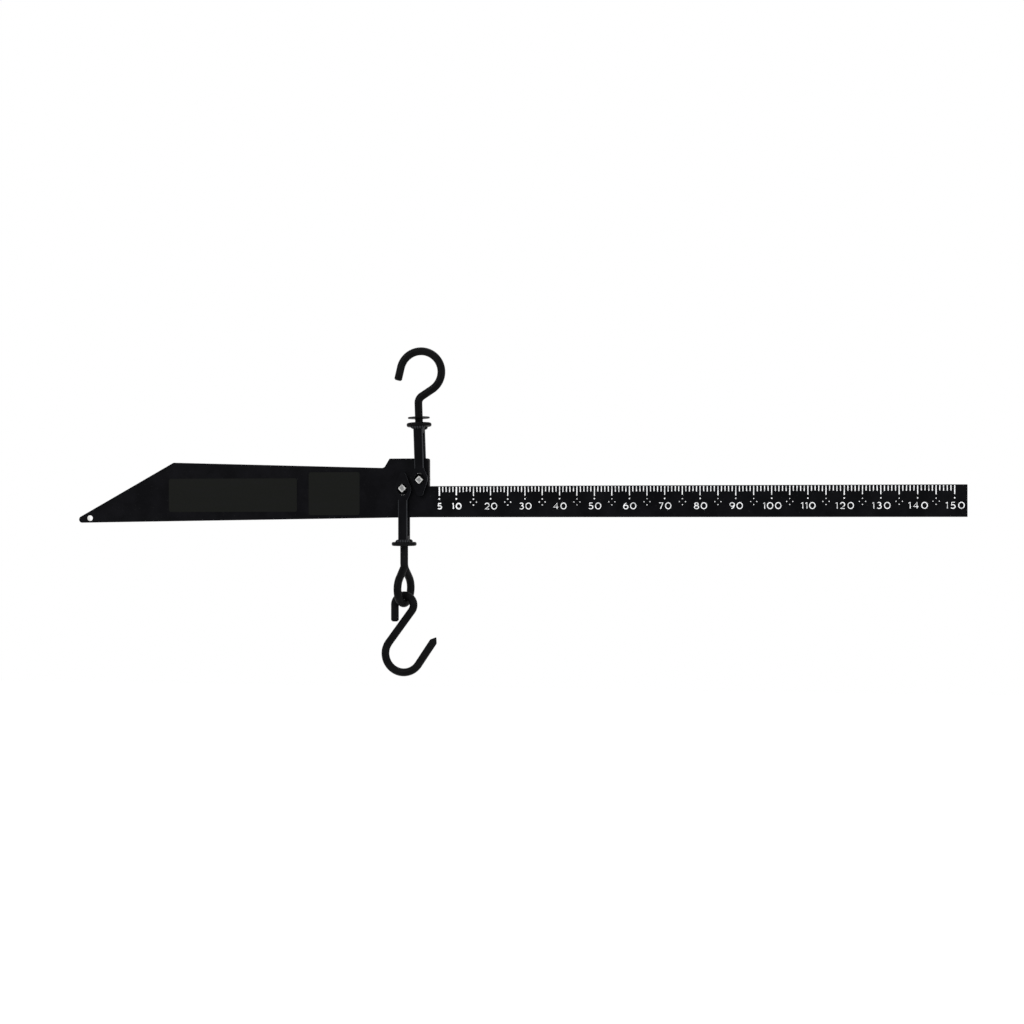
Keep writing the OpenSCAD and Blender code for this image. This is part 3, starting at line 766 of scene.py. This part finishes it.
class STEELYARD_OT_welds(bpy.types.Operator):
    """Give the weld beads and plugs their ripples under the enamel"""
    bl_idname = "steelyard.welds"
    bl_label = "Welds"

    def execute(self, context):
        sizes = context.scene.steelyard_finish
        give_finish(stoved_enamel("enamel_over_weld", sizes, ripple_mm=1.3), BEADS)
        over_plugs = stoved_enamel("enamel_over_plugs", sizes, plate_shades(sizes), ripple_mm=3.5, crest=0.1)
        give_finish(over_plugs, PLUGS)
        return {"FINISHED"}


class STEELYARD_OT_knives(bpy.types.Operator):
    """Grind the two knives bright"""
    bl_idname = "steelyard.knives"
    bl_label = "Knives"

    def execute(self, context):
        for knife in KNIVES:
            low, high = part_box(knife)
            steel = ground_steel(
                knife + "_steel", context.scene.steelyard_finish, middle(knife), (high.z - low.z) / 2)
            give_finish(steel, [knife])
        return {"FINISHED"}


class STEELYARD_OT_swivels(bpy.types.Operator):
    """Blacken the swivel heads and plate their thrust washers"""
    bl_idname = "steelyard.swivels"
    bl_label = "Swivel heads and washers"

    def execute(self, context):
        sizes = context.scene.steelyard_finish
        give_finish(blackened_steel("blackened_steel", sizes), BLACKENED)
        give_finish(zinc_plate("zinc_plate", sizes), PLATED)
        return {"FINISHED"}


class STEELYARD_OT_labels(bpy.types.Operator):
    """Give the two blank label films their satin vinyl"""
    bl_idname = "steelyard.labels"
    bl_label = "Label films"

    def execute(self, context):
        give_finish(label_vinyl("label_vinyl", context.scene.steelyard_finish), FILMS)
        return {"FINISHED"}


class STEELYARD_OT_rims(bpy.types.Operator):
    """Wear the enamel off the rims of the stirrups' eyes, across from the knives"""
    bl_idname = "steelyard.rims"
    bl_label = "Worn rims"

    def execute(self, context):
        sizes = context.scene.steelyard_finish
        material = ground_steel("worn_rim_steel", sizes)
        eyes = {
            "upper": (fulcrum.x, bearing_z + sizes.eye_over, 90),
            "lower": (load_point.x, bearing_z - sizes.eye_over, 270),
        }
        r = sizes.eye_d / 2
        rise = sizes.rim_w / 4
        reach = math.degrees(sizes.rim_arc)
        for stirrup, (x, z, towards) in eyes.items():
            line = arc((x, z), r, r, towards - reach, towards + reach, step_deg=4)
            for side, y in (("front", cheek_front), ("rear", cheek_back)):
                name = stirrup + "_" + side + "_worn_rim"
                piece = link(name, strokes_mesh(name, [line], sizes.rim_w, rise, y), material)
                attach(piece, stirrup + "_yoke")
        return {"FINISHED"}


class STEELYARD_OT_tip_hole(bpy.types.Operator):
    """Bare the drilled wall of the hole in the counterweight's tip"""
    bl_idname = "steelyard.tip_hole"
    bl_label = "Hole in the tip"

    def execute(self, context):
        sizes = context.scene.steelyard_finish
        x, y, z = tip_hole["pos_m"]
        outer = tip_hole["dims"]["r_mm"] * MM
        half = tip_hole["dims"]["length_mm"] * MM / 2
        mesh = sleeve_mesh("tip_hole_wall", x, z, outer, outer - sizes.bare_wall, y - half, y + half)
        piece = link("tip_hole_wall", mesh, ground_steel("drilled_steel", sizes))
        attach(piece, "beam")
        return {"FINISHED"}


class STEELYARD_OT_ticks(bpy.types.Operator):
    """Fill the ticks of the graduation with paint"""
    bl_idname = "steelyard.ticks"
    bl_label = "Ticks"

    def execute(self, context):
        sizes = context.scene.steelyard_graduation
        paint = filling_paint("tick_paint", context.scene.steelyard_finish)
        hand = random.Random(CHISEL_SEED)
        aside_mm = 0.06
        lean_mm = 0.07
        uneven = 0.05
        kinds = {"short_ticks": [], "long_ticks": [], "bold_ticks": []}
        for kg in all_loads(sizes):
            kind = tick_kind(kg, sizes)
            x = tick_x(kg, sizes) + hand.uniform(-aside_mm, aside_mm) * MM
            length = sizes.short_len if kind == "short_ticks" else sizes.long_len
            length *= hand.uniform(1 - uneven, 1 + uneven)
            lean = hand.uniform(-lean_mm, lean_mm) * MM
            kinds[kind].append([(x - lean, bar_top - sizes.tick_in), (x + lean, bar_top - length)])
        for name, lines in kinds.items():
            width = sizes.tick_w * (sizes.bold_share if name == "bold_ticks" else 1)
            piece = link(name, strokes_mesh(name, lines, width, sizes.paint_rise, bar_front), paint)
            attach(piece, "beam")
        return {"FINISHED"}


class STEELYARD_OT_dots(bpy.types.Operator):
    """Fill the dots over the numbers and the diamonds between them"""
    bl_idname = "steelyard.dots"
    bl_label = "Dots"

    def execute(self, context):
        sizes = context.scene.steelyard_graduation
        paint = filling_paint("dot_paint", context.scene.steelyard_finish)
        over_numbers = []
        diamonds = []
        for kg in all_loads(sizes):
            x = tick_x(kg, sizes)
            if numbered(kg, sizes):
                bold = sizes.bold_share if kg <= sizes.bold_kg else 1
                over_numbers.append((x, bar_top - sizes.dot_drop, sizes.dot_d * (1 + bold) / 2))
            elif kg % LONG_EVERY == 0:
                z = bar_top - sizes.diamond_drop
                small = sizes.small_dot_d * (sizes.worn_share if kg >= sizes.worn_kg else 1)
                for across, up in ((0, 1), (1, 0), (0, -1), (-1, 0)):
                    diamonds.append((x + across * sizes.diamond_r, z + up * sizes.diamond_r, small))
        for name, dots in (("number_dots", over_numbers), ("diamond_dots", diamonds)):
            piece = link(name, dots_mesh(name, dots, sizes.paint_rise, bar_front), paint)
            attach(piece, "beam")
        return {"FINISHED"}


class STEELYARD_OT_numbers(bpy.types.Operator):
    """Fill the numbers of the graduation with paint"""
    bl_idname = "steelyard.numbers"
    bl_label = "Numbers"

    def execute(self, context):
        sizes = context.scene.steelyard_graduation
        paint = filling_paint("number_paint", context.scene.steelyard_finish)
        for kg in all_loads(sizes):
            if not numbered(kg, sizes):
                continue
            gap = sizes.far_gap if kg >= sizes.far_kg else sizes.digit_gap
            width = sizes.stroke_w * (sizes.bold_share if kg <= sizes.bold_kg else 1)
            name = "number_" + str(kg)
            x = tick_x(kg, sizes) + sizes.digit_side
            lines = number_strokes(str(kg), x, bar_top - sizes.digit_drop, sizes.digit_h, width, gap)
            piece = link(name, strokes_mesh(name, lines, width, sizes.paint_rise, bar_front), paint)
            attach(piece, "beam")
        return {"FINISHED"}


OPERATORS = (
    STEELYARD_OT_stage, STEELYARD_OT_enamel, STEELYARD_OT_welds, STEELYARD_OT_knives, STEELYARD_OT_swivels,
    STEELYARD_OT_labels, STEELYARD_OT_rims, STEELYARD_OT_tip_hole, STEELYARD_OT_ticks, STEELYARD_OT_dots,
    STEELYARD_OT_numbers,
)


class STEELYARD_PT_panel(bpy.types.Panel):
    """The steelyard's steps, in the order in which they are run"""
    bl_idname = "STEELYARD_PT_panel"
    bl_label = "Steelyard"
    bl_space_type = "VIEW_3D"
    bl_region_type = "UI"
    bl_category = "Steelyard"

    def draw(self, context):
        for operator in OPERATORS:
            self.layout.operator(operator.bl_idname)
        for group in SETTINGS:
            box = self.layout.box()
            box.label(text=SETTINGS[group].__doc__)
            for key in SETTINGS[group].__annotations__:
                box.prop(getattr(context.scene, group), key)


SETTINGS = {
    "steelyard_graduation": GraduationSizes,
    "steelyard_finish": FinishSizes,
    "steelyard_stage": StageSizes,
}


def register():
    for group, settings in SETTINGS.items():
        bpy.utils.register_class(settings)
        setattr(bpy.types.Scene, group, PointerProperty(type=settings))
    for operator in OPERATORS:
        bpy.utils.register_class(operator)
    bpy.utils.register_class(STEELYARD_PT_panel)


def unregister():
    bpy.utils.unregister_class(STEELYARD_PT_panel)
    for operator in reversed(OPERATORS):
        bpy.utils.unregister_class(operator)
    for group, settings in SETTINGS.items():
        delattr(bpy.types.Scene, group)
        bpy.utils.unregister_class(settings)


def main():
    register()
    bpy.context.scene.view_settings.view_transform = "Standard"
    bpy.ops.steelyard.stage()
    bpy.ops.steelyard.enamel()
    bpy.ops.steelyard.welds()
    bpy.ops.steelyard.knives()
    bpy.ops.steelyard.swivels()
    bpy.ops.steelyard.labels()
    bpy.ops.steelyard.rims()
    bpy.ops.steelyard.tip_hole()
    bpy.ops.steelyard.ticks()
    bpy.ops.steelyard.dots()
    bpy.ops.steelyard.numbers()


if __name__ == "__main__":
    main()
